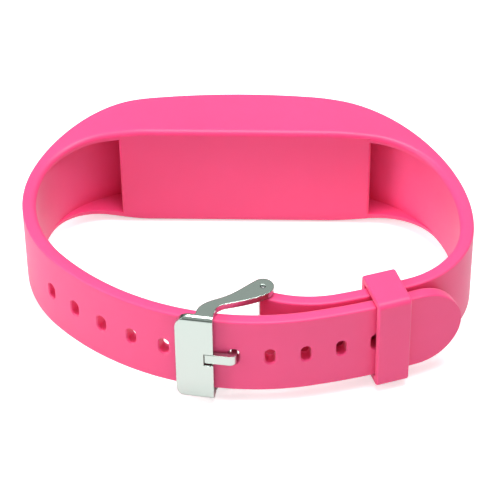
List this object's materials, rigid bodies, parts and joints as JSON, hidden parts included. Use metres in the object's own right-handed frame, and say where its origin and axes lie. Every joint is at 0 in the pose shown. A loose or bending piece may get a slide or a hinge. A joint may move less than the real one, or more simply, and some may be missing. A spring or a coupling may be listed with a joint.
{
  "type": "fitness tracker band",
  "caption": "Soft wrist band with a hollow housing for a slide-in tracker, a holed tail strap, a keeper loop and a steel pin buckle.",
  "frame": {"origin": "middle of the underside of the whole band, lying with the axis of its loop upright", "axes": "+Z along the axis of the loop, +Y towards the tracker housing, -Y towards the buckle, +X towards the tip of the tail"},
  "size_m": [0.079, 0.0592, 0.0212],
  "materials": {
    "silicone": "matte moulded silicone",
    "buckle_steel": "polished and lightly satin",
    "spring_steel": "bright wire and pins"
  },
  "bodies": {
    "band": {"tracker_housing_left": "silicone", "tracker_housing_right": "silicone", "tail_strap": "silicone", "buckle_strap": "silicone", "spring_bar_tube": "spring_steel", "spring_bar_spring": "spring_steel"},
    "keeper": {"keeper_loop": "silicone"},
    "frame": {"buckle_frame": "buckle_steel"},
    "prong": {"buckle_prong": "buckle_steel"},
    "plunger_upper": {"spring_bar_plunger_upper": "spring_steel"},
    "plunger_lower": {"spring_bar_plunger_lower": "spring_steel"}
  },
  "joints": [
    {"name": "keeper_slide", "type": "hinge", "parent": "band", "child": "keeper", "pos_m": [-0.01344, 0.0849, 0.0106], "axis": [0, 0, 1], "range_deg": [-2.5, 1.3]},
    {"name": "frame_pivot", "type": "hinge", "parent": "band", "child": "frame", "pos_m": [0.0033, -0.02097, 0.0106], "axis": [0, 0, 1], "range_deg": [0, 90]},
    {"name": "prong_pivot", "type": "hinge", "parent": "band", "child": "prong", "pos_m": [0.0033, -0.02097, 0.0106], "axis": [0, 0, 1], "range_deg": [0, 2.5]},
    {"name": "plunger_upper_press", "type": "slide", "parent": "band", "child": "plunger_upper", "axis": [0, 0, -1], "range_m": [0, 0.00115], "stiffness_N_per_m": 800, "deforming": ["spring_bar_spring"]},
    {"name": "plunger_lower_press", "type": "slide", "parent": "band", "child": "plunger_lower", "axis": [0, 0, 1], "range_m": [0, 0.00115], "stiffness_N_per_m": 800, "deforming": ["spring_bar_spring"]}
  ]
}
